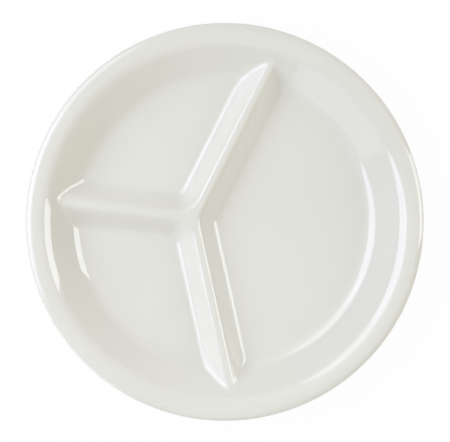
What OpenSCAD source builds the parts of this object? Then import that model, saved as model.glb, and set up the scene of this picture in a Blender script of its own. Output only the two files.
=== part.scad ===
// Divided compartment plate, moulded in one piece.
// A round dish is revolved from its profile. A three-armed ridge rises from the floor and
// runs out into the wall. The ridge is hollow below, as a moulding of even thickness needs.
// The plate stands on a foot ring, with its origin at the middle of that ring.

/* [Plate] */
// Overall diameter
plate_d = 260; // [225:1:310]
// Overall height, from the table to the top of the lip
plate_h = 27; // [24:0.5:32]
// Thickness of the moulding
wall_t = 3.3; // [2.4:0.1:4]
// Width of the wall in plan, from the floor's edge to the rim
wall_w = 34.5; // [32:0.5:42]
// Radius between the floor and the wall
floor_fillet_r = 14; // [10:0.5:16]
// Radius of the shoulder between the wall and the rim
shoulder_r = 16; // [10:0.5:18]
// Width of the rim outside the shoulder
rim_w = 5; // [4:0.5:9]
// Angle at which the rim still rises towards its lip
rim_slope = 4; // [0:0.5:8]

/* [Foot ring] */
// Distance of the foot ring in from the floor's edge
foot_inset = 1.5; // [0.5:0.1:12]
// Width of the face that the plate stands on
foot_w = 3; // [2:0.5:6]
// Height of the foot ring below the underside
foot_h = 2; // [1:0.1:3]
// How far each side of the foot ring leans out towards the plate
foot_draft_w = 0.8; // [0.2:0.1:1.5]

/* [Divider] */
// Height of the ridge above the floor
ridge_h = 12.4; // [8:0.2:14]
// Width of the ridge where it leaves the floor
ridge_w = 33.6; // [30:0.2:38]
// Width of the flat along the crest
crest_w = 1; // [0.4:0.1:4]
// Radius of the edges along the crest
crest_r = 4; // [2:0.1:5]
// Radius between the ridge and the floor
ridge_fillet_r = 7; // [4:0.5:8]
// Distance of the ridge's junction from the middle of the plate
junction_x = 20.7; // [12:0.1:26]
// Half of the angle that the large compartment takes up
large_half_angle = 70.5; // [64:0.5:76]
// Radius in plan of a compartment's inner corner
inner_corner_r = 3.5; // [2:0.5:6]
// Radius of the blend where the ridge's flanks meet the wall
flank_blend_r = 8; // [5:0.5:10]

/* [Underside] */
// Gap between the hollow under the ridge and the foot ring
hollow_gap = 2.5; // [1.5:0.5:6]
// Radius of the hollow's ceiling
hollow_top_r = 0.9; // [0.5:0.1:2]

/* [Hidden] */

// Steps around a whole turn, one arc of a section, a trough's end and its ceiling
$fn = 180;
arc_steps = 10;
trough_steps = 48;
ceiling_steps = 24;
// Overrun of a cut past the surface that it leaves through
overrun = 5;

plate_r = plate_d / 2;
shoulder_end = plate_r - rim_w;
floor_r = shoulder_end - wall_w;
foot_r = floor_r - foot_inset;
floor_z = foot_h + wall_t;

// The lip is a half round, and the rim's line touches it
lip_r = wall_t / 2;
lip_touch = [plate_r - lip_r - lip_r * sin(rim_slope), plate_h - lip_r + lip_r * cos(rim_slope)];

// The wall rises from the floor's edge through two arcs and the straight line that touches both.
// On a narrow wall the arcs are limited to these shares of its width.
fillet_limit_share = 0.42;
shoulder_limit_share = 0.48;
low_r = min(floor_fillet_r, wall_w * fillet_limit_share);
high_r = min(shoulder_r, wall_w * shoulder_limit_share);
wall_rise = lip_touch[1] - floor_z + high_r * (1 - cos(rim_slope))
    - (lip_touch[0] - shoulder_end + high_r * sin(rim_slope)) * tan(rim_slope);
WALL = [wall_w, wall_rise, low_r, high_r, rim_slope];

// The ridge has the same kind of section, from its foot up to the flat of its crest
RIDGE = [(ridge_w - crest_w) / 2, ridge_h, ridge_fillet_r, crest_r, 0];
crest_half = crest_w / 2;
foot_half = ridge_w / 2;

// The ridge's arms leave the junction at these angles, one compartment lying between each two
junction = [-junction_x, 0];
ARMS = [-large_half_angle, large_half_angle, 180];

// A section is [run, rise, radius below, radius above, slope at the top]
function steepest(c) =
    let (dx = c[0], dz = c[1] - c[2] - c[3])
    atan2(dz, dx) + asin((c[2] + c[3]) / norm([dx, dz]));

// Points along a section's lower and upper arcs, moved down into the material by depth
function lower_arc(c, depth = 0) =
    [for (i = [0 : arc_steps]) let (a = steepest(c) * i / arc_steps)
        [(c[2] + depth) * sin(a), c[2] - (c[2] + depth) * cos(a)]];
function upper_arc(c, depth = 0) =
    [for (i = [0 : arc_steps]) let (a = steepest(c) + (c[4] - steepest(c)) * i / arc_steps)
        [c[0] - (c[3] - depth) * sin(a), c[1] - c[3] + (c[3] - depth) * cos(a)]];

// Height of a section's slope and crown at t from its foot. Below the floor the slope goes on.
function climb(c, t) =
    let (a = steepest(c), last = c[0] - c[3] * sin(c[4]))
    t < c[0] - c[3] * sin(a) ? (t - c[2] * tan(a / 2)) * tan(a)
    : t < last ? c[1] - c[3] + sqrt(c[3] * c[3] - pow(c[0] - t, 2))
    : c[1] - c[3] * (1 - cos(c[4])) + (t - last) * tan(c[4]);

// A climb of height z, let down to the floor along the section's lower arc
function settle(c, z) =
    let (a = steepest(c), t = z / tan(a) + c[2] * tan(a / 2))
    t <= 0 ? 0
    : t < c[2] * sin(a) ? c[2] - sqrt(c[2] * c[2] - t * t)
    : z;

function along(angle) = [cos(angle), sin(angle)];
function eased(x) = let (k = min(max(x, 0), 1)) k * k * (3 - 2 * k);

// Height above the floor at the point p, which lies beside the crest line at distance s.
// The bare slopes of flank and wall are joined with a round between them, which is narrower at the
// crest. What comes of it settles on the floor, so the foot's outline has a round corner as well.
blend_share = 0.7;
crest_blend_share = 0.5;
function relief(p, s) =
    let (
        flank = climb(RIDGE, foot_half - s),
        wall = climb(WALL, norm(p) - floor_r),
        width = flank_blend_r * blend_share
            * (1 - (1 - crest_blend_share) * eased((flank + wall) / ridge_h - 1)),
        overlap = max(width - abs(flank - wall), 0),
        joined = max(flank, wall) + overlap * overlap / (4 * width),
        flank_share = eased((1 + (flank - wall) / width) / 2)
    )
    flank_share * settle(RIDGE, joined) + (1 - flank_share) * settle(WALL, joined);
function dish(p) = settle(WALL, climb(WALL, norm(p) - floor_r));

// Where the ridge has no height of its own, its surface dips this far into the dish
dip = 0.15;
kept = 0.02;
function skin(p, s) =
    let (z = relief(p, s))
    z - dish(p) > kept ? z : dish(p) - dip;

// Distances from the crest line at which the ridge's surface is drawn, down to its foot
LEVELS = concat(
    [for (i = [arc_steps : -2 : 0]) foot_half - upper_arc(RIDGE)[i][0]],
    [for (i = [1 : 3]) let (a = upper_arc(RIDGE)[0][0], b = lower_arc(RIDGE)[arc_steps][0])
        foot_half - a + (a - b) * i / 4],
    [for (i = [arc_steps : -2 : 2]) foot_half - lower_arc(RIDGE)[i][0]]
);
// Past the foot lies an apron, which is narrow on the floor and widens towards the wall
APRON_SHARES = [0, 0.25, 0.5, 0.75, 1];
last_level = len(LEVELS) + len(APRON_SHARES) - 1;
floor_apron = 0.85 * inner_corner_r;
wall_apron = 0.9 * flank_blend_r;
first_apron = 0.4 * floor_apron;

// Radii at which each arm's surface is drawn, from before the wall to high up on it
wall_start_r = floor_r - 0.5 * flank_blend_r;
wall_end_r = shoulder_end - high_r / 2;
wall_stations = 18;
STATIONS = [for (i = [0 : wall_stations])
    wall_start_r + (wall_end_r - wall_start_r) * i / wall_stations];
function station(arm, radius) =
    let (e = along(arm), n = along(arm + 90))
    sqrt(radius * radius - pow(junction * n, 2)) - junction * e;

// Distance of level j from the crest line
function level(j, radius) =
    let (
        widening = eased((radius - wall_start_r) / (floor_r - wall_start_r)),
        width = floor_apron + (wall_apron - floor_apron) * widening
    )
    j < len(LEVELS) ? LEVELS[j]
    : foot_half + first_apron + (width - first_apron) * APRON_SHARES[j - len(LEVELS)];

// The side of one compartment: columns of points from the crest down to the apron
corner_steps = 6;
function arm_column(arm, side, radius, reach) =
    [for (j = [0 : last_level])
        let (s = level(j, radius), p = junction + reach * along(arm) + side * s * along(arm + 90))
        [p[0], p[1], floor_z + skin(p, s)]];
function corner_column(first, second, f) =
    let (
        half = (second - first) / 2,
        reach = foot_half + inner_corner_r,
        middle = junction + reach / sin(half) * along(first + half),
        out = -along(first + 90 + 2 * f * (half - 90))
    )
    [for (j = [0 : last_level])
        let (s = level(j, 0), p = middle + (reach - s) * out)
        [p[0], p[1], floor_z + skin(p, s)]];
function columns(first, second) = concat(
    [for (i = [wall_stations : -1 : 0]) arm_column(first, 1, STATIONS[i], station(first, STATIONS[i]))],
    [for (i = [0 : corner_steps]) corner_column(first, second, i / corner_steps)],
    [for (i = [0 : wall_stations]) arm_column(second, -1, STATIONS[i], station(second, STATIONS[i]))]
);

// The ridge as a column that reaches down past the underside, before it is trimmed
module ridge_column() {
    sides = [for (k = [0 : 2]) columns(ARMS[k], ARMS[(k + 1) % 3] + (k == 2 ? 360 : 0))];
    per_side = len(sides[0]);
    rows = last_level + 1;
    skin_points = [for (side = sides) for (column = side) for (p = column) p];
    under_points = [for (side = sides) for (column = side)
        [column[last_level][0], column[last_level][1], -overrun]];
    middle = len(skin_points) + len(under_points);
    points = concat(skin_points, under_points,
        [[junction[0], junction[1], floor_z + ridge_h], [junction[0], junction[1], -overrun]]);
    function top(k, i, j) = ((k % 3) * per_side + i) * rows + j;
    function under(k, i) = len(skin_points) + (k % 3) * per_side + i;
    end = per_side - 1;
    first_flat = wall_stations;
    last_flat = end - wall_stations;
    faces = concat(
        [for (k = [0 : 2]) for (i = [0 : end - 1]) for (j = [0 : last_level - 1]) for (half = [0, 1])
            half == 0 ? [top(k, i, j), top(k, i + 1, j), top(k, i + 1, j + 1)]
            : [top(k, i, j), top(k, i + 1, j + 1), top(k, i, j + 1)]],
        [for (k = [0 : 2]) for (i = [0 : end - 1]) for (half = [0, 1])
            half == 0 ? [top(k, i, last_level), top(k, i + 1, last_level), under(k, i + 1)]
            : [top(k, i, last_level), under(k, i + 1), under(k, i)]],
        [for (k = [0 : 2]) for (i = [first_flat : last_flat - 1]) for (half = [0, 1])
            half == 0 ? [middle, top(k, i + 1, 0), top(k, i, 0)]
            : [middle + 1, under(k, i), under(k, i + 1)]],
        [for (k = [0 : 2]) for (half = [0, 1])
            half == 0 ? [middle, top(k + 1, first_flat, 0), top(k, last_flat, 0)]
            : [middle + 1, under(k, last_flat), under(k + 1, first_flat)]],
        [for (k = [0 : 2]) for (i = [0 : wall_stations - 1])
            let (a = last_flat + i, b = first_flat - i) for (part = [0 : 3])
            part == 0 ? [top(k, a, 0), top(k + 1, b, 0), top(k + 1, b - 1, 0)]
            : part == 1 ? [top(k, a, 0), top(k + 1, b - 1, 0), top(k, a + 1, 0)]
            : part == 2 ? [under(k, a), under(k + 1, b - 1), under(k + 1, b)]
            : [under(k, a), under(k, a + 1), under(k + 1, b - 1)]],
        [for (k = [0 : 2])
            concat([under(k, end)], [for (j = [last_level : -1 : 0]) top(k, end, j)],
                [for (j = [0 : last_level]) top(k + 1, 0, j)], [under(k + 1, 0)])]
    );
    polyhedron(points, faces, convexity = 4);
}

// Everything below the dish's surface moved down by depth
module space_below(depth) {
    arcs = concat(lower_arc(WALL, depth), upper_arc(WALL, depth));
    rotate_extrude()
        polygon(concat(
            [[0, floor_z - depth]],
            [for (p = arcs) [floor_r + p[0], floor_z + p[1]]],
            [[plate_r + overrun, floor_z + wall_rise], [plate_r + overrun, -2 * overrun],
             [0, -2 * overrun]]
        ));
}

// Floor, wall, shoulder, rim and lip, in one turned profile
module dish_shell() {
    face = concat(lower_arc(WALL), upper_arc(WALL));
    back = concat(lower_arc(WALL, wall_t), upper_arc(WALL, wall_t));
    last = len(back) - 1;
    lip = [for (i = [0 : arc_steps]) let (a = 90 + rim_slope - 180 * i / arc_steps)
        [plate_r - lip_r + lip_r * cos(a), plate_h - lip_r + lip_r * sin(a)]];
    rotate_extrude()
        polygon(concat(
            [[0, floor_z]],
            [for (p = face) [floor_r + p[0], floor_z + p[1]]],
            lip,
            [for (i = [last : -1 : 0]) [floor_r + back[i][0], floor_z + back[i][1]]],
            [[0, floor_z - wall_t]]
        ));
}

// The ring that the plate stands on
module foot_ring() {
    rotate_extrude()
        polygon([
            [foot_r - foot_w - foot_draft_w, 0],
            [foot_r - foot_draft_w, 0],
            [foot_r, foot_h],
            [foot_r, foot_h + wall_t / 2],
            [foot_r - foot_w - 2 * foot_draft_w, foot_h + wall_t / 2],
            [foot_r - foot_w - 2 * foot_draft_w, foot_h]
        ]);
}

// The hollow below one arm, a trough with sloping sides and a round end
module hollow_arm(arm) {
    slope = steepest(RIDGE);
    sharp_foot = foot_half - ridge_fillet_r * tan(slope / 2);
    mouth_r = sharp_foot + wall_t / tan(slope) - wall_t / sin(slope);
    depth = floor_z + ridge_h - wall_t - foot_h;
    end = foot_r - foot_w - 2 * foot_draft_w - hollow_gap - mouth_r;
    wide_r = mouth_r + overrun / tan(slope);
    narrow_r = mouth_r - (depth - hollow_top_r) / tan(slope);
    hull()
        for (reach = [0, station(arm, end)])
            translate([junction[0], junction[1], 0] + reach * [cos(arm), sin(arm), 0]) {
                translate([0, 0, foot_h - overrun])
                    cylinder(h = overrun + depth - hollow_top_r, r1 = wide_r, r2 = narrow_r,
                             $fn = trough_steps);
                translate([0, 0, foot_h + depth - hollow_top_r])
                    sphere(r = hollow_top_r, $fn = ceiling_steps);
            }
}

module plate() {
    color("ivory")
        difference() {
            union() {
                dish_shell();
                foot_ring();
                difference() {
                    ridge_column();
                    space_below(wall_t / 2);
                }
            }
            for (arm = ARMS) hollow_arm(arm);
        }
}

plate();
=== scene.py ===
# %% [markdown]
# # A divided compartment plate
#
# The real object is a single compression moulding: a round dish of off-white melamine, with a
# three-armed ridge that keeps foods apart. There is nothing to assemble, so all of its looks come
# from one continuous skin whose curves run into each other, and from how that gloss picks up lamps.
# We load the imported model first. It fixes where the plate is and how large it may be.

# %% Load the frame
import math

import bpy
import numpy as np
from mathutils import Matrix, Vector


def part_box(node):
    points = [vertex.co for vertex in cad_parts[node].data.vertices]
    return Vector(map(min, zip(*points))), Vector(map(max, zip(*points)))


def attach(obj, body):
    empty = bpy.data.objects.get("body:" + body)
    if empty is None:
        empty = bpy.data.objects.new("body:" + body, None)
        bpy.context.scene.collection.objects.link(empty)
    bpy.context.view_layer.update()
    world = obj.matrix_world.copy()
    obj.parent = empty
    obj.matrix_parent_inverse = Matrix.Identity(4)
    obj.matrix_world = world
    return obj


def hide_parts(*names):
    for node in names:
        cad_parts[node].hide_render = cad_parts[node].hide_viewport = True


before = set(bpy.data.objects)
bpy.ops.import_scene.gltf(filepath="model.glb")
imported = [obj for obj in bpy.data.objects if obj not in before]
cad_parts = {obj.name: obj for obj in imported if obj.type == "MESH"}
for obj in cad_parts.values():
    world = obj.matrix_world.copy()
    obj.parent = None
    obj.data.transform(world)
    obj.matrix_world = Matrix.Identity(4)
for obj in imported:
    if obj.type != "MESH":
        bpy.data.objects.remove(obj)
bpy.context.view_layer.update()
low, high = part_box("plate")
print("CAD plate from", tuple(round(v, 4) for v in low), "to", tuple(round(v, 4) for v in high))

# %% [markdown]
# ## Sizes
#
# Blender works in metres, and a plate is easier to think about in millimetres, so one constant
# turns the one into the other. The overall diameter and height are read from the frame. The other
# sizes are those of the mould: how wide the wall is in plan, the radii that join floor, wall and
# rim, the section of the ridge, and the foot ring that the plate stands on. Two points that are
# closer than TOUCH count as one.

# %% Name the sizes of the mould
MM = 0.001
PLATE_R = high.x
PLATE_H = high.z
WALL_T = 3.3 * MM
WALL_W = 34.5 * MM
FLOOR_FILLET_R = 14 * MM
SHOULDER_R = 16 * MM
RIM_W = 5 * MM
RIM_SLOPE = math.radians(4)
LIP_R = WALL_T / 2
ROLL_R = 6.5 * MM
ROLL_END = math.radians(45)
EDGE_R = 0.65 * MM

FOOT_INSET = 1.5 * MM
FOOT_W = 3 * MM
FOOT_H = 2 * MM
FOOT_DRAFT_W = 0.8 * MM
FOOT_EDGE_R = 0.5 * MM
FOOT_LAND_W = 1.1 * MM

RIDGE_H = 12.4 * MM
RIDGE_W = 33.6 * MM
CREST_W = 1 * MM
CREST_R = 4 * MM
RIDGE_FILLET_R = 7 * MM
JUNCTION_X = 20.7 * MM
LARGE_HALF_ANGLE = math.radians(70.5)
INNER_CORNER_R = 3.5 * MM
FLANK_BLEND_R = 8 * MM

TOUCH = 0.01 * MM

SHOULDER_END = PLATE_R - RIM_W
FLOOR_R = SHOULDER_END - WALL_W
FLOOR_Z = FOOT_H + WALL_T
FOOT_R = FLOOR_R - FOOT_INSET
FOOT_INNER_R = FOOT_R - FOOT_W - 2 * FOOT_DRAFT_W
FOOT_HALF = RIDGE_W / 2
CREST_HALF = CREST_W / 2
print("flat floor", round(2 * FLOOR_R / MM, 1), "mm across, at height", round(FLOOR_Z / MM, 1), "mm")

# %% [markdown]
# ## Camera
#
# The photograph looks straight down from well above the plate, through a long lens: the rim is a
# circle to within a pixel. The picture is 450 by 442 pixels, the rim's radius in it is 199 pixels
# and the plate is turned by 7.2 degrees. We keep the plate square to its axes and roll the camera.
# The lens follows from the radius, so the plate fills the frame exactly as it does in the picture.

# %% Place the camera
PICTURE_W = 450
PICTURE_H = 442
RIM_PIXELS = 199.1
CENTRE_PIXEL_X = 224.7
CENTRE_PIXEL_Y = 221.9
PICTURE_TURN = math.radians(7.2)
CAMERA_HEIGHT = 1.4
SENSOR_MM = 36

rim_distance = CAMERA_HEIGHT - (PLATE_H - LIP_R)
pixel_size = PLATE_R / RIM_PIXELS
aim_right = (PICTURE_W / 2 - CENTRE_PIXEL_X) * pixel_size
aim_up = (CENTRE_PIXEL_Y - PICTURE_H / 2) * pixel_size

camera_data = bpy.data.cameras.new("camera")
camera_data.sensor_width = SENSOR_MM
camera_data.lens = SENSOR_MM * rim_distance / (PICTURE_W * pixel_size)
camera_data.clip_start = 0.01
camera = bpy.data.objects.new("camera", camera_data)
turn = Matrix.Rotation(PICTURE_TURN, 3, "Z")
camera.location = turn @ Vector((aim_right, aim_up, CAMERA_HEIGHT))
camera.rotation_euler = (0, 0, PICTURE_TURN)
bpy.context.scene.collection.objects.link(camera)
bpy.context.scene.camera = camera
bpy.context.scene.view_settings.view_transform = "Standard"
print("lens", round(camera_data.lens, 1), "mm,", round(pixel_size / MM, 3), "mm to a pixel")

# %% [markdown]
# ## The section that wall and ridge share
#
# Cut the plate anywhere and the same shape turns up: a hollow curve that leaves the floor, a
# straight slope, and a crown that levels off. The wall is one such section, revolved. Each flank of
# the ridge is another, carried along an arm. A small class holds it and answers two questions: how
# high is it at a distance t from its foot, and where does a given climb settle. It also lists points
# along its two curves, moved into the material where we need the back of the wall. How high the
# wall climbs follows from the rim: its line touches the half-round lip, LIP_R, of the plain solid.
#
# The flanks of the ridge aren't dead straight. They ease off a little before either curve, by a
# quarter of a millimetre at most, and a gloss turns that into the fine dark line that runs beside
# each highlight.

# %% Describe a section
EASE_H = 0.45 * MM
LOW_EASE_W = 2.6 * MM
HIGH_EASE_W = 2.2 * MM
EASE_OVERLAP = 0.9 * MM


def eased(x):
    """0 up to 0, 1 from 1 on, and smooth between them."""
    k = np.clip(x, 0, 1)
    return k * k * (3 - 2 * k)


class Section:
    """A hollow curve, a straight slope and a crown that together climb the rise over the run."""

    def __init__(self, run, rise, hollow_r, crown_r, last_slope=0.0, ease_h=0.0):
        self.run, self.rise = run, rise
        self.hollow_r, self.crown_r = hollow_r, crown_r
        self.last_slope, self.ease_h = last_slope, ease_h
        straight = rise - hollow_r - crown_r
        self.steep = (math.atan2(straight, run)
                      + math.asin((hollow_r + crown_r) / math.hypot(run, straight)))
        self.sharp_foot = hollow_r * math.tan(self.steep / 2)
        self.hollow_end = hollow_r * math.sin(self.steep)
        self.crown_start = run - crown_r * math.sin(self.steep)
        self.crown_end = run - crown_r * math.sin(last_slope)

    def climb(self, t):
        """Height of the slope and its crown; below the floor the slope just goes on."""
        slope = (t - self.sharp_foot) * math.tan(self.steep)
        crown = self.rise - self.crown_r + np.sqrt(np.maximum(self.crown_r**2 - (self.run - t)**2, 0))
        level = (self.rise - self.crown_r * (1 - math.cos(self.last_slope))
                 + (t - self.crown_end) * math.tan(self.last_slope))
        return np.select([t < self.crown_start, t < self.crown_end],
                         [slope - self.easing(t), crown - self.easing(t)], level)

    def easing(self, t):
        """How far the slope eases off near its two ends, made up for in between."""
        first, last = self.hollow_end - EASE_OVERLAP, self.crown_start + EASE_OVERLAP / 2
        eases = eased((t - first) / LOW_EASE_W) + eased((t - last + HIGH_EASE_W) / HIGH_EASE_W)
        return self.ease_h * (eases - 2 * np.clip((t - first) / (last - first), 0, 1))

    def settle(self, z):
        """Lets a climb down to the floor along the hollow curve."""
        t = z / math.tan(self.steep) + self.sharp_foot
        hollow = self.hollow_r - np.sqrt(np.maximum(self.hollow_r**2 - np.square(t), 0))
        return np.select([t <= 0, t < self.hollow_end], [0 * t, hollow], z)

    def height(self, t):
        return self.settle(self.climb(t))

    def hollow_points(self, steps, depth=0.0):
        r = self.hollow_r + depth
        return [(r * math.sin(a), self.hollow_r - r * math.cos(a))
                for a in np.linspace(0, self.steep, steps + 1)]

    def crown_points(self, steps, depth=0.0):
        r = self.crown_r - depth
        return [(self.run - r * math.sin(a), self.rise - self.crown_r + r * math.cos(a))
                for a in np.linspace(self.steep, self.last_slope, steps + 1)]


lip_touch = (PLATE_R - LIP_R - LIP_R * math.sin(RIM_SLOPE), PLATE_H - LIP_R + LIP_R * math.cos(RIM_SLOPE))
wall_rise = (lip_touch[1] - FLOOR_Z + SHOULDER_R * (1 - math.cos(RIM_SLOPE))
             - (lip_touch[0] - SHOULDER_END + SHOULDER_R * math.sin(RIM_SLOPE)) * math.tan(RIM_SLOPE))
WALL = Section(WALL_W, wall_rise, FLOOR_FILLET_R, SHOULDER_R, RIM_SLOPE)
RIDGE = Section(FOOT_HALF - CREST_HALF, RIDGE_H, RIDGE_FILLET_R, CREST_R, ease_h=EASE_H)
print("wall slope", round(math.degrees(WALL.steep), 1), "degrees, flank slope",
      round(math.degrees(RIDGE.steep), 1), "degrees")

# %% [markdown]
# ## Where ridge and wall meet
#
# This is the part of the plate that takes the most skill. A ridge that just ran into the wall would
# leave a hard crease on either side, and no mould has one: food would stick there. A mould maker
# rounds it in two goes, and so do we. First the bare slopes of flank and wall are run together with
# a round between them that goes on below the floor, a little tighter where it reaches the crest.
# Then the result settles onto the floor: the hollow curve of the ridge's foot turns into that of
# the wall's foot around the corner, so the foot's outline gets its rounded corner by itself.

# %% Work out the height of the divider and the wall together
BLEND_SHARE = 0.7
CREST_BLEND_SHARE = 0.5


def relief(radius, s):
    """Height above the floor at this radius, at the distance s from the nearest crest line."""
    flank, wall = RIDGE.climb(FOOT_HALF - s), WALL.climb(radius - FLOOR_R)
    width = (FLANK_BLEND_R * BLEND_SHARE
             * (1 - (1 - CREST_BLEND_SHARE) * eased((flank + wall) / RIDGE_H - 1)))
    overlap = np.maximum(width - abs(flank - wall), 0)
    joined = np.maximum(flank, wall) + overlap**2 / (4 * width)
    ridge_share = eased((1 + (flank - wall) / width) / 2)
    return ridge_share * RIDGE.settle(joined) + (1 - ridge_share) * WALL.settle(joined)


crest_end = float(relief(np.array(FLOOR_R + WALL.hollow_end), np.array(0.0)))
print("where the wall turns straight, the crest is", round(crest_end / MM, 1), "mm high")

# %% [markdown]
# ## Drawing the columns
#
# A gloss shows every edge that runs across a curve, so the mesh has to follow the shape: rings
# around the wall, and lines along each arm. We get both from one lathe. Its columns stay radial
# between the arms, but near an arm they become straight lines parallel to it, close together where
# the ridge curves and wide apart where it is flat. The list below names each column by the arm it
# follows and its distance from that arm's crest line, or by how far it lies between two arms. The
# last value is its distance from the nearest crest line, up to BAND, where the ridge isn't felt any
# more. A compartment lies between two arms, and the last one's second arm is a full turn further.

# %% List the columns
ARMS = [-LARGE_HALF_ANGLE, LARGE_HALF_ANGLE, math.pi]
COMPARTMENTS = list(zip(ARMS, ARMS[1:] + [ARMS[0] + 2 * math.pi]))
JUNCTION = Vector((-JUNCTION_X, 0, 0))
BAND = 26 * MM
APRON = 0.8 * MM
GAP_COLUMNS = [100, 56, 56]
CREST_SHARES = [0.45, 0.8]
CREST_STEPS = 9
FLANK_STEPS = 17
FOOT_STEPS = 10
OUTER_STEPS = 8


def along(angle, length=1.0):
    """A step of this length in a level direction."""
    return Vector((length * math.cos(angle), length * math.sin(angle), 0))


def levels_between(first, last, steps):
    """Even levels between two levels, without either of them."""
    return np.linspace(first, last, steps + 1)[1:-1].tolist()


crest_levels = [float(FOOT_HALF - t) for t, z in reversed(RIDGE.crown_points(CREST_STEPS))]
flank_levels = levels_between(FOOT_HALF - RIDGE.crown_start, FOOT_HALF - RIDGE.hollow_end, FLANK_STEPS)
foot_levels = [float(FOOT_HALF - t) for t, z in reversed(RIDGE.hollow_points(FOOT_STEPS))]
ridge_levels = [share * CREST_HALF for share in CREST_SHARES] + crest_levels + flank_levels + foot_levels
ridge_levels.append(FOOT_HALF + APRON)
outer_levels = levels_between(FOOT_HALF + APRON, BAND, OUTER_STEPS) + [BAND]
band_offsets = [-s for s in reversed(ridge_levels + outer_levels)] + [0.0] + ridge_levels + outer_levels

columns = []
for (first, second), count in zip(COMPARTMENTS, GAP_COLUMNS):
    columns += [(first, s, first, s, 0.0, abs(s)) for s in band_offsets]
    columns += [(first, BAND, second, -BAND, share, BAND) for share in levels_between(0, 1, count + 1)]
columns = np.array(columns)
print(len(columns), "columns,", len(band_offsets), "of them along each arm")


def column_angles(radius, index):
    """The angle at which a column crosses the circle of this radius."""
    arm_a, s_a, arm_b, s_b, share, _ = columns[index].T
    first = arm_a + np.arcsin((JUNCTION_X * np.sin(arm_a) + s_a) / radius)
    second = arm_b + np.arcsin((JUNCTION_X * np.sin(arm_b) + s_b) / radius)
    return first * (1 - share) + second * share


# %% [markdown]
# ## Turning the plate on a lathe
#
# A profile is a chain of points in the XZ plane. The spin operator turns it about the Z axis, as a
# potter's template would, and merges the last column with the first. The top of the plate and its
# back are two profiles, because only the top gets lifted by the divider. After the spin each point
# slides around its own ring to the angle that its column has there.

# %% Make a helper that starts a mesh and one that lathes it
def edit(piece, kind="VERT", chosen=None):
    """Opens a piece in edit mode with only the chosen points or edges selected, or all of it."""
    bpy.ops.object.select_all(action="DESELECT")
    piece.select_set(True)
    bpy.context.view_layer.objects.active = piece
    for elements in (piece.data.vertices, piece.data.edges, piece.data.polygons):
        elements.foreach_set("select", np.zeros(len(elements), bool))
    if chosen is not None:
        elements = piece.data.vertices if kind == "VERT" else piece.data.edges
        elements.foreach_set("select", np.isin(np.arange(len(elements)), chosen))
    bpy.context.tool_settings.mesh_select_mode = (kind == "VERT", kind == "EDGE", False)
    bpy.ops.object.mode_set(mode="EDIT")
    if chosen is None:
        bpy.ops.mesh.select_all(action="SELECT")


def leave():
    """Ends edit mode, so that the mesh can be read again."""
    bpy.ops.object.mode_set(mode="OBJECT")


def chain(name, points):
    """A new object whose mesh is a line through the points."""
    mesh = bpy.data.meshes.new(name)
    mesh.from_pydata(points, [(i, i + 1) for i in range(len(points) - 1)], [])
    piece = bpy.data.objects.new(name, mesh)
    bpy.context.scene.collection.objects.link(piece)
    return piece


def places(piece):
    """Where the points of a piece are, one row for each."""
    co = np.empty(3 * len(piece.data.vertices))
    piece.data.vertices.foreach_get("co", co)
    return co.reshape(-1, 3)


def put(piece, co):
    """Moves the points of a piece to these places."""
    piece.data.vertices.foreach_set("co", np.ascontiguousarray(co).ravel())
    piece.data.update()


def lathe(name, profile):
    """Spins a profile and moves each point to its column; also gives radius and column of each."""
    piece = chain(name, [(r, 0, z) for r, z in profile])
    edit(piece)
    bpy.ops.mesh.spin(steps=len(columns), angle=2 * math.pi, center=(0, 0, 0), axis=(0, 0, 1))
    bpy.ops.mesh.select_all(action="SELECT")
    bpy.ops.mesh.remove_doubles(threshold=TOUCH)
    leave()
    co = places(piece)
    radius = np.hypot(co[:, 0], co[:, 1])
    step = 2 * math.pi / len(columns)
    index = np.round(np.arctan2(co[:, 1], co[:, 0]) / step).astype(int) % len(columns)
    angle = column_angles(radius, index)
    co[:, 0], co[:, 1] = radius * np.cos(angle), radius * np.sin(angle)
    put(piece, co)
    return piece, radius, index


# %% [markdown]
# ## The top: floor's edge, wall, shoulder and rim
#
# The top ring starts inside the flat floor, just before the arms begin to feel the wall. It climbs
# the wall, crosses the rim and ends on the lip, which rolls over outwards, where the roll leans by
# 45 degrees. The profile takes more points where the section bends. Once it is turned, every point
# of it is set to the height that ridge and wall have there together.

# %% Lathe the top and press the divider's ends into it
FLOOR_EDGE_W = 5 * MM
FLOOR_EDGE_STEPS = 6
CURVE_STEPS = 16
SLOPE_STEPS = 20
RING_START_R = FLOOR_R - FLOOR_EDGE_W


def between(first, last, count):
    """Points between two points, without either of them."""
    return [tuple(np.add(first, np.subtract(last, first) * i / count)) for i in range(1, count)]


def arc(centre, radius, first, last, steps):
    """Points along an arc; its angles are counted from straight up, towards the outside."""
    return [(centre[0] + radius * math.sin(a), centre[1] + radius * math.cos(a))
            for a in np.linspace(first, last, steps + 1)]


floor_rows = [(r, FLOOR_Z) for r in np.linspace(RING_START_R, FLOOR_R, FLOOR_EDGE_STEPS + 1)[:-1]]
hollow = [(FLOOR_R + x, FLOOR_Z + z) for x, z in WALL.hollow_points(CURVE_STEPS)]
crown = [(FLOOR_R + x, FLOOR_Z + z) for x, z in WALL.crown_points(CURVE_STEPS)]
slope_rows = between(hollow[-1], crown[0], SLOPE_STEPS)

roll_centre_r = PLATE_R - EDGE_R - (ROLL_R - EDGE_R) * math.sin(ROLL_END)
roll_start_r = roll_centre_r - ROLL_R * math.sin(RIM_SLOPE)
roll_start_z = crown[-1][1] + (roll_start_r - crown[-1][0]) * math.tan(RIM_SLOPE)
roll_centre = (roll_centre_r, roll_start_z - ROLL_R * math.cos(RIM_SLOPE))
roll = arc(roll_centre, ROLL_R, -RIM_SLOPE, ROLL_END, CURVE_STEPS)
top, top_radius, top_column = lathe("moulded_plate", floor_rows + hollow + slope_rows + crown + roll)

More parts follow.
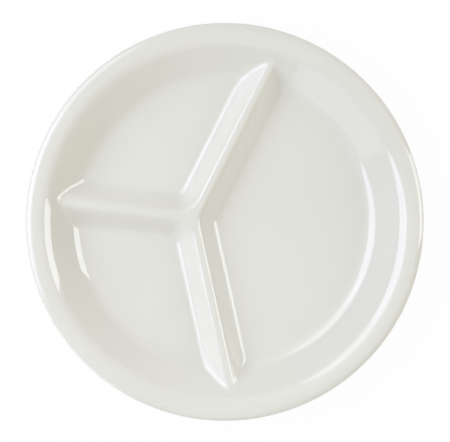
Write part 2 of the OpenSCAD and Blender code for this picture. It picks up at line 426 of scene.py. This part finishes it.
co = places(top)
pressed = FLOOR_Z + relief(top_radius, columns[top_column, 5])
co[:, 2] = np.where(top_radius < crown[-1][0] + TOUCH, pressed, co[:, 2])
put(top, co)
print("top ring", len(top.data.vertices), "points")

# %% [markdown]
# ## The back: lip, underside and foot ring
#
# The lip's roll ends in a small round edge, which is where the two halves of the mould close.
# Behind it the back runs parallel to the top, which is what makes a moulding cure evenly, down to
# the ring that the plate stands on. The ring's four edges are drawn sharp and then rounded with the
# bevel operator, as on the mould.

# %% Lathe the back and round its foot
RING_END_R = FOOT_INNER_R - FOOT_LAND_W
edge_centre = (PLATE_R - EDGE_R, roll_centre[1] + (ROLL_R - EDGE_R) * math.cos(ROLL_END))
lip = arc(edge_centre, EDGE_R, ROLL_END, math.pi - RIM_SLOPE, steps=10)
back_crown = [(FLOOR_R + x, FLOOR_Z + z) for x, z in reversed(WALL.crown_points(steps=10, depth=WALL_T))]
back_hollow = [(FLOOR_R + x, FLOOR_Z + z) for x, z in reversed(WALL.hollow_points(steps=12, depth=WALL_T))]
foot = [(FOOT_R, FOOT_H), (FOOT_R - FOOT_DRAFT_W, 0), (FOOT_R - FOOT_DRAFT_W - FOOT_W, 0),
        (FOOT_INNER_R, FOOT_H)]
back_rows = (lip + between(lip[-1], back_crown[0], count=3) + back_crown
             + between(back_crown[-1], back_hollow[0], count=6) + back_hollow
             + foot + [(RING_END_R, FOOT_H)])
back, back_radius, _ = lathe("back", back_rows)

co = places(back)
radius = np.hypot(co[:, 0], co[:, 1])
on_foot = np.zeros(len(co), bool)
for r, z in foot:
    on_foot |= (abs(radius - r) < TOUCH) & (abs(co[:, 2] - z) < TOUCH)
around = [edge.index for edge in back.data.edges
          if all(on_foot[v] for v in edge.vertices) and abs(np.diff(radius[list(edge.vertices)])) < TOUCH]
edit(back, "EDGE", around)
bpy.ops.mesh.bevel(offset=FOOT_EDGE_R, segments=4, affect="EDGES")
leave()
print("back", len(back.data.vertices), "points")

# %% [markdown]
# ## The arms of the divider
#
# Inside the ring each flank of the ridge is a plain extrusion. At the junction it turns around the
# compartment's inner corner, so its section is spun about that corner's centre. One compartment's
# side of the divider is therefore drawn once, as its half section at the corner, spun to the other
# arm, and pulled out along both arms until it meets the ring. The same helper makes the hollow on
# the back, whose ends are round instead.

# %% Make a helper that runs a half section around one compartment
CORNER_STEPS = 16
FLANK_CUTS = 26
TROUGH_CUTS = 12
ROUND_END_STEPS = 12
CORNER_CENTRE_R = FOOT_HALF + INNER_CORNER_R


def reach_at(arm, s, radius):
    """How far along an arm, from the junction, its line at the offset s crosses a circle."""
    return math.sqrt(radius**2 - (JUNCTION_X * math.sin(arm) + s)**2) + JUNCTION_X * math.cos(arm)


def pull_out(piece, row, arm, side, levels, radius, cuts):
    """Extrudes a row of points along an arm until it meets a circle, and cuts the strip across."""
    before = len(piece.data.vertices)
    edit(piece, "VERT", row)
    bpy.ops.mesh.extrude_region_move(TRANSFORM_OT_translate={"value": along(arm, MM)})
    leave()
    position = {index: j for j, index in enumerate(row)}
    far, long_edges = {}, []
    for edge in piece.data.edges:
        a, b = sorted(edge.vertices)
        if a in position and b >= before:
            far[position[a]] = b
            long_edges.append(edge.index)
    for j, s in enumerate(levels):
        target = JUNCTION + along(arm, reach_at(arm, side * s, radius)) + side * s * along(arm + math.pi / 2)
        piece.data.vertices[far[j]].co.xy = target.xy
    edit(piece, "EDGE", long_edges)
    bpy.ops.mesh.subdivide(number_cuts=cuts)
    leave()
    return [far[j] for j in range(len(levels))]


def flank(name, first, second, levels, heights, radius, cuts):
    """One compartment's side of the divider, and the rows of points in which it ends."""
    half = (second - first) / 2
    centre = JUNCTION + along(first + half, CORNER_CENTRE_R / math.sin(half))
    start = JUNCTION + along(first, CORNER_CENTRE_R / math.tan(half))
    end = JUNCTION + along(second, CORNER_CENTRE_R / math.tan(half))
    piece = chain(name, [start + s * along(first + math.pi / 2) + Vector((0, 0, z))
                         for s, z in zip(levels, heights)])
    edit(piece)
    bpy.ops.mesh.spin(steps=CORNER_STEPS, angle=math.pi - 2 * half, center=centre, axis=(0, 0, 1),
                      use_auto_merge=False)
    leave()
    co = places(piece)
    last = []
    for s, z in zip(levels, heights):
        gap = np.linalg.norm(co - np.array(end - s * along(second + math.pi / 2) + Vector((0, 0, z))), axis=1)
        last.append(int(gap.argmin()))
    first_row = pull_out(piece, list(range(len(levels))), first, 1, levels, radius, cuts)
    last_row = pull_out(piece, last, second, -1, levels, radius, cuts)
    return piece, first_row, last_row


# %% Pull the ridge's flanks out to the ring
sides = []
heights = [FLOOR_Z + float(RIDGE.height(np.array(FOOT_HALF - s))) for s in ridge_levels]
for k, (first, second) in enumerate(COMPARTMENTS):
    side, _, _ = flank(f"flank_{k}", first, second, ridge_levels, heights, RING_START_R, FLANK_CUTS)
    sides.append(side)
print("flanks", [len(side.data.vertices) for side in sides], "points")

# %% [markdown]
# ## The hollow below the ridge
#
# A moulding cures evenly only if it is equally thick everywhere, so the ridge is hollow from below.
# The hollow keeps the flank's slope at a wall's thickness below it. Its mouth has a rounded edge,
# and each trough ends in a half turn short of the foot ring.

# %% Run the hollow's section around the same three corners
HOLLOW_GAP = 2.5 * MM
MOUTH_EDGE_R = 0.8 * MM
CEILING_R = 1.4 * MM
MOUTH_APRON = 0.3 * MM
steep = RIDGE.steep
mouth = FOOT_HALF - RIDGE_FILLET_R * math.tan(steep / 2) + WALL_T / math.tan(steep) - WALL_T / math.sin(steep)
ceiling_h = FLOOR_Z + RIDGE_H - WALL_T - FOOT_H
hollow_half = mouth + MOUTH_EDGE_R * math.tan(steep / 2)
ceiling_half = mouth - ceiling_h / math.tan(steep) - CEILING_R * math.tan(steep / 2)
HOLLOW = Section(hollow_half - ceiling_half, ceiling_h, MOUTH_EDGE_R, CEILING_R)
hollow_levels = [float(hollow_half - t) for t, z in reversed(HOLLOW.crown_points(steps=5))]
hollow_levels += levels_between(hollow_half - HOLLOW.crown_start, hollow_half - HOLLOW.hollow_end, steps=5)
hollow_levels += [float(hollow_half - t) for t, z in reversed(HOLLOW.hollow_points(steps=4))]
hollow_levels.append(hollow_half + MOUTH_APRON)
hollow_heights = [FOOT_H + float(HOLLOW.height(np.array(hollow_half - s))) for s in hollow_levels]
end_r = FOOT_INNER_R - HOLLOW_GAP - mouth
print("hollow slope", round(math.degrees(HOLLOW.steep), 1), "degrees, mouth",
      round(2 * mouth / MM, 1), "mm wide")


def round_end(piece, row, arm, side, reach):
    """Squares a row of points up at a fixed reach and turns it a quarter about the trough's end."""
    centre = JUNCTION + along(arm, reach)
    for j, s in zip(row, hollow_levels):
        piece.data.vertices[j].co.xy = (centre + side * s * along(arm + math.pi / 2)).xy
    edit(piece, "VERT", row)
    bpy.ops.mesh.spin(steps=ROUND_END_STEPS, angle=side * math.pi / 2, center=centre, axis=(0, 0, 1),
                      use_auto_merge=False)
    leave()


for k, (first, second) in enumerate(COMPARTMENTS):
    trough, first_row, last_row = flank(f"trough_{k}", first, second, hollow_levels, hollow_heights,
                                        end_r, TROUGH_CUTS)
    round_end(trough, first_row, first, 1, reach_at(first, 0, end_r))
    round_end(trough, last_row, second, -1, reach_at(second, 0, end_r))
    sides.append(trough)
print("troughs", [len(side.data.vertices) for side in sides[3:]], "points")

# %% [markdown]
# ## One skin
#
# The parts meet point for point, so joining them and merging doubles closes nearly everything. The
# land between the hollow and the foot ring is filled between its two outlines. What is then still
# open is flat: three floors, the crest and the hollow's ceiling. Each becomes one face.

# %% Join, merge and close the skin
bpy.ops.object.select_all(action="DESELECT")
for piece in [back] + sides:
    piece.select_set(True)
top.select_set(True)
bpy.context.view_layer.objects.active = top
bpy.ops.object.join()
plate = top
edit(plate)
bpy.ops.mesh.remove_doubles(threshold=2 * TOUCH)
bpy.ops.mesh.select_all(action="DESELECT")
bpy.ops.mesh.select_non_manifold()
leave()
co = places(plate)
edges = [e for e in plate.data.edges if e.select]
land = [e.index for e in edges if abs(co[list(e.vertices), 2] - FOOT_H).max() < TOUCH]
print(len(edges), "open edges,", len(land), "of them on the land")
edit(plate, "EDGE", land)
bpy.ops.mesh.fill(use_beauty=True)
bpy.ops.mesh.select_all(action="DESELECT")
bpy.ops.mesh.select_non_manifold()
bpy.ops.mesh.fill_holes(sides=0)
bpy.ops.mesh.select_all(action="SELECT")
bpy.ops.mesh.normals_make_consistent(inside=False)
bpy.ops.mesh.select_all(action="DESELECT")
bpy.ops.mesh.select_non_manifold()
leave()
print("still open:", sum(e.select for e in plate.data.edges), "edges;", len(plate.data.polygons), "faces")

# %% Shade it smooth
bpy.ops.object.select_all(action="DESELECT")
plate.select_set(True)
bpy.context.view_layer.objects.active = plate
bpy.ops.object.shade_smooth()
weigh = plate.modifiers.new("weigh normals", "WEIGHTED_NORMAL")
weigh.mode = "FACE_AREA"
weigh.weight = 50
bpy.ops.object.modifier_apply(modifier=weigh.name)
plate.data.calc_loop_triangles()
print(len(plate.data.loop_triangles), "triangles")

# %% [markdown]
# ## Shader maths as plain expressions
#
# A material is easier to read as a formula than as a list of links. The class below wraps a socket,
# so that `1 - mask * 0.4` adds the Math nodes by itself. Any other node comes from `node`, which
# takes its type, its settings, and the values or links of its sockets.

# %% Wrap a socket
class Graph:
    def __init__(self, tree):
        self.tree = tree

    def node(self, kind, settings=None, **sockets):
        made = self.tree.nodes.new(kind)
        for name, value in (settings or {}).items():
            setattr(made, name, value)
        for name, value in sockets.items():
            self.feed(made, name.replace("_", " "), value)
        return made

    def feed(self, made, name, value):
        socket = made.inputs[int(name)] if name.isdigit() else made.inputs[name]
        if isinstance(value, Signal):
            self.tree.links.new(value.socket, socket)
        else:
            socket.default_value = value

    def signal(self, made, output=0):
        return Signal(self, made.outputs[output])


class Signal:
    def __init__(self, graph, socket):
        self.graph, self.socket = graph, socket

    def _math(self, operation, *values):
        made = self.graph.tree.nodes.new("ShaderNodeMath")
        made.operation = operation
        for i, value in enumerate(values):
            self.graph.feed(made, str(i), value)
        return self.graph.signal(made)

    def __add__(self, other):
        return self._math("ADD", self, other)

    __radd__ = __add__

    def __sub__(self, other):
        return self._math("SUBTRACT", self, other)

    def __rsub__(self, other):
        return self._math("SUBTRACT", other, self)

    def __mul__(self, other):
        return self._math("MULTIPLY", self, other)

    __rmul__ = __mul__

    def step(self, first, last):
        """0 below first, 1 above last, and smooth between them."""
        made = self.graph.node("ShaderNodeMapRange", {"interpolation_type": "SMOOTHSTEP"},
                               Value=self, From_Min=first, From_Max=last)
        return self.graph.signal(made)


# %% [markdown]
# ## Melamine
#
# Moulded melamine is a dense off-white plastic that comes out of its mould with the mould's own
# polish. Up close its gloss isn't perfect: it carries a faint waviness, which bends the edges of
# reflections, and wiping leaves hazy patches that only change the roughness. A mould's ridge is
# polished lengthwise, so its flanks carry fine streaks that run along each arm. They are a few
# hundredths of a millimetre high, and the Bump node takes such heights as they are, in metres.
# The standing face of the foot is ground by every table it slides on, and so it is matt.

# %% Mix the melamine
REFRACTION = 1.66
DEEP_TONE = (0.775, 0.764, 0.698, 1)
PALE_TONE = (0.79, 0.779, 0.716, 1)
CLOUD_SCALE = 14
GRAIN_SCALE = 900
CLOUD_SHARE = 0.8
GRAIN_SHARE = 0.2

POLISHED = 0.022
HAZE_ROUGHNESS = 0.025
HAZE_SCALE = 38
GROUND_ROUGHNESS = 0.4
GROUND_FULL_H = 0.15 * MM
GROUND_END_H = 0.5 * MM

WAVE_SCALE = 70
WAVE_HEIGHT = 0.005 * MM
STREAK_SCALE = 450
STREAK_STRETCH = 0.02
STREAK_HEIGHT = 0.06 * MM
STREAK_FADE_W = 3 * MM
STREAK_START = 4 * MM
STREAK_FULL = 12 * MM

material = bpy.data.materials.new("melamine")
material.use_nodes = True
graph = Graph(material.node_tree)
shader = material.node_tree.nodes["Principled BSDF"]
shader.inputs["IOR"].default_value = REFRACTION
shader.inputs["Specular IOR Level"].default_value = 0.5

position = graph.signal(graph.node("ShaderNodeTexCoord"), "Object")
axes = graph.node("ShaderNodeSeparateXYZ", Vector=position)
x, y, z = (graph.signal(axes, axis) for axis in "XYZ")


def noise(scale, detail=2.0, roughness=0.5, vector=position):
    return graph.signal(graph.node("ShaderNodeTexNoise", Vector=vector, Scale=scale, Detail=detail,
                                   Roughness=roughness))


def streaks(arm):
    """Fine waves across one arm, drawn out lengthwise, and none away from the ridge."""
    reach = (x + JUNCTION_X) * math.cos(arm) + y * math.sin(arm)
    beside = y * math.cos(arm) - (x + JUNCTION_X) * math.sin(arm)
    stretched = graph.signal(graph.node("ShaderNodeCombineXYZ", X=beside, Y=reach * STREAK_STRETCH))
    distance = graph.signal(graph.node("ShaderNodeMath", {"operation": "ABSOLUTE"}, Value=beside))
    near = 1 - distance.step(FOOT_HALF - STREAK_FADE_W, FOOT_HALF)
    return noise(STREAK_SCALE, vector=stretched) * near * reach.step(STREAK_START, STREAK_FULL)


cloud = noise(CLOUD_SCALE, detail=3)
grain = noise(GRAIN_SCALE)
tone = cloud.step(0.3, 0.7) * CLOUD_SHARE + grain * GRAIN_SHARE
colour = graph.node("ShaderNodeMix", {"data_type": "RGBA"})
graph.feed(colour, "0", tone)
colour.inputs[6].default_value = DEEP_TONE
colour.inputs[7].default_value = PALE_TONE

haze = noise(HAZE_SCALE, detail=4, roughness=0.6).step(0.45, 0.75)
ground = 1 - z.step(GROUND_FULL_H, GROUND_END_H)
polish = POLISHED + haze * HAZE_ROUGHNESS + ground * GROUND_ROUGHNESS
graph.tree.links.new(colour.outputs[2], shader.inputs["Base Color"])
graph.feed(shader, "Roughness", polish)

relief_map = noise(WAVE_SCALE, detail=1) * WAVE_HEIGHT
for arm in ARMS:
    relief_map = relief_map + streaks(arm) * STREAK_HEIGHT
bump = graph.node("ShaderNodeBump", Strength=1.0, Distance=1.0, Height=relief_map)
graph.tree.links.new(bump.outputs[0], shader.inputs["Normal"])
plate.data.materials.clear()
plate.data.materials.append(material)
for cad_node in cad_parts.values():
    cad_node.data.materials.clear()
    cad_node.data.materials.append(material)
print("melamine has", len(material.node_tree.nodes), "nodes")

# %% [markdown]
# ## Studio
#
# A glossy white plate on white is drawn by its lamps alone. The arcs on its right wall are the
# mirror image of one long soft panel that stands low on the left and is brighter in its middle, so
# we hang two, one in front of the other. The short warm arcs on its left wall come from a smaller
# panel on the right, and the faint sheet on its upper right wall from a low card. A mirror turns an
# angle twice: a wall that leans by 30 degrees shows what stands 60 degrees from straight up. So
# each panel is placed by the side it stands on in the picture and by its height above the horizon.
#
# Two fills near the plate light the floor from above. The gloss doesn't mirror them, or they would
# draw arcs that the photograph doesn't have.

# %% Hang the lamps
def picture_direction(azimuth, elevation):
    """Where something stands; azimuth is in the picture, from its right side upwards."""
    a, e = math.radians(azimuth) + PICTURE_TURN, math.radians(elevation)
    return Vector((math.cos(e) * math.cos(a), math.cos(e) * math.sin(a), math.sin(e)))


def panel(name, azimuth, elevation, distance, width, height, radiance, colour, shape="RECTANGLE", roll=0,
          mirrored=True):
    """A soft panel aimed at the plate and rolled about its own axis by so many degrees."""
    data = bpy.data.lights.new(name, "AREA")
    data.shape = shape
    data.size, data.size_y = width, height
    area = width * height * (math.pi / 4 if shape == "ELLIPSE" else 1)
    data.energy = radiance * math.pi * area
    data.color = colour
    lamp = bpy.data.objects.new(name, data)
    lamp.visible_glossy = mirrored
    direction = picture_direction(azimuth, elevation)
    lamp.location = direction * distance
    aim = direction.to_track_quat("Z", "Y").to_matrix()
    lamp.rotation_euler = (aim @ Matrix.Rotation(math.radians(roll), 3, "Z")).to_euler()
    bpy.context.scene.collection.objects.link(lamp)


panel("left_panel", azimuth=162, elevation=37, distance=1.3, width=1.97, height=0.98,
      radiance=1.9, colour=(0.8, 0.8, 1.0), shape="ELLIPSE", roll=-12)
panel("left_core", azimuth=174, elevation=35.5, distance=1.28, width=1.1, height=0.96,
      radiance=1.3, colour=(0.78, 0.78, 1.0), shape="ELLIPSE", roll=-12)
panel("right_panel", azimuth=7.5, elevation=28, distance=1.315, width=0.56, height=0.81,
      radiance=4.2, colour=(0.85, 0.9, 0.95))
panel("low_card", azimuth=224, elevation=13, distance=1.2, width=0.92, height=0.5,
      radiance=0.6, colour=(0.97, 0.97, 1.0), shape="ELLIPSE")
panel("left_fill", azimuth=190, elevation=70, distance=1.0, width=0.72, height=0.72,
      radiance=1.65, colour=(0.79, 0.88, 1.0), shape="ELLIPSE", mirrored=False)
panel("front_fill", azimuth=270, elevation=55, distance=0.7, width=0.5, height=0.5,
      radiance=1.14, colour=(0.87, 0.93, 0.98), shape="ELLIPSE", mirrored=False)

# %% [markdown]
# ## The room around the plate
#
# Everything that isn't a panel is the room, and a glossy plate shows it as much as the lamps. It is
# a dim warm shell with seven soft pools of light on it. Each pool is named by where it stands in
# the picture, how far it reaches and its colour. The dot product of two directions is the cosine
# of the angle between them, so a smooth step of it is a round pool with a soft edge.

# %% Paint the room
SHELL = (0.055, 0.045, 0.01)
POOLS = [
    (0, 62, 35, (0.42, 0.37, 0.34)),
    (60, 8, 60, (0.53, 0.48, 0.51)),
    (120, 30, 35, (0.37, 0.42, 0.3)),
    (150, 55, 35, (0.44, 0.52, 0.42)),
    (270, 8, 60, (0.46, 0.49, 0.5)),
    (270, 55, 35, (0.3, 0.24, 0.2)),
    (330, 8, 35, (0.27, 0.16, 0.0)),
]
world = bpy.data.worlds.new("studio")
bpy.context.scene.world = world
world.use_nodes = True
sky = Graph(world.node_tree)
towards = sky.signal(sky.node("ShaderNodeTexCoord"), "Generated")
room = SHELL
for azimuth, elevation, reach, colour in POOLS:
    middle = picture_direction(azimuth, elevation)
    cosine = sky.node("ShaderNodeVectorMath", {"operation": "DOT_PRODUCT"}, **{"0": towards, "1": middle})
    pool = sky.signal(cosine, "Value").step(math.cos(math.radians(reach)), 1.0)
    light = sky.node("ShaderNodeVectorMath", {"operation": "SCALE"}, **{"0": colour, "Scale": pool})
    room = sky.signal(sky.node("ShaderNodeVectorMath", {"operation": "ADD"},
                               **{"0": room, "1": sky.signal(light)}))
sky.feed(world.node_tree.nodes["Background"], "Color", room)
print(len(POOLS), "pools of light")

# %% [markdown]
# ## Floor
#
# The plate stands on a plain white sweep. For the camera it is close to pure white, as in the
# photograph, and a part of it still answers to the lamps, so the plate keeps its soft shadow.

# %% Lay the floor
SWEEP_R = 8
GLOW_SHARE = 0.96
PAPER_TONE = (0.9, 0.9, 0.895, 1)
PAPER_ROUGHNESS = 0.9
PAPER_GLOSS = 0.1
bpy.ops.object.select_all(action="DESELECT")
bpy.ops.mesh.primitive_circle_add(vertices=64, radius=SWEEP_R, fill_type="NGON", location=(0, 0, 0))
floor = bpy.context.object
floor.name = "studio_floor"
paper = bpy.data.materials.new("white_paper")
paper.use_nodes = True
sheet = Graph(paper.node_tree)
paper_shader = paper.node_tree.nodes["Principled BSDF"]
paper_shader.inputs["Base Color"].default_value = PAPER_TONE
paper_shader.inputs["Roughness"].default_value = PAPER_ROUGHNESS
paper_shader.inputs["Specular IOR Level"].default_value = PAPER_GLOSS
rays = sheet.node("ShaderNodeLightPath")
looks = ("Is Camera Ray", "Is Glossy Ray", "Is Transmission Ray")
camera_ray, glossy_ray, transmission_ray = (sheet.signal(rays, name) for name in looks)
seen = camera_ray + glossy_ray + transmission_ray
glow = sheet.node("ShaderNodeEmission", Color=(1, 1, 1, 1), Strength=1.0)
mix = sheet.node("ShaderNodeMixShader")
sheet.feed(mix, "0", seen * GLOW_SHARE)
output = paper.node_tree.nodes["Material Output"]
paper.node_tree.links.new(paper_shader.outputs[0], mix.inputs[1])
paper.node_tree.links.new(glow.outputs[0], mix.inputs[2])
paper.node_tree.links.new(mix.outputs[0], output.inputs["Surface"])
floor.data.materials.append(paper)

# %% [markdown]
# ## Hand the plate over
#
# The skin takes the place of the plain CAD solid, rides on the one body and stays inside its box.

# %% Finish
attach(plate, "root")
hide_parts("plate")
bpy.context.view_layer.update()
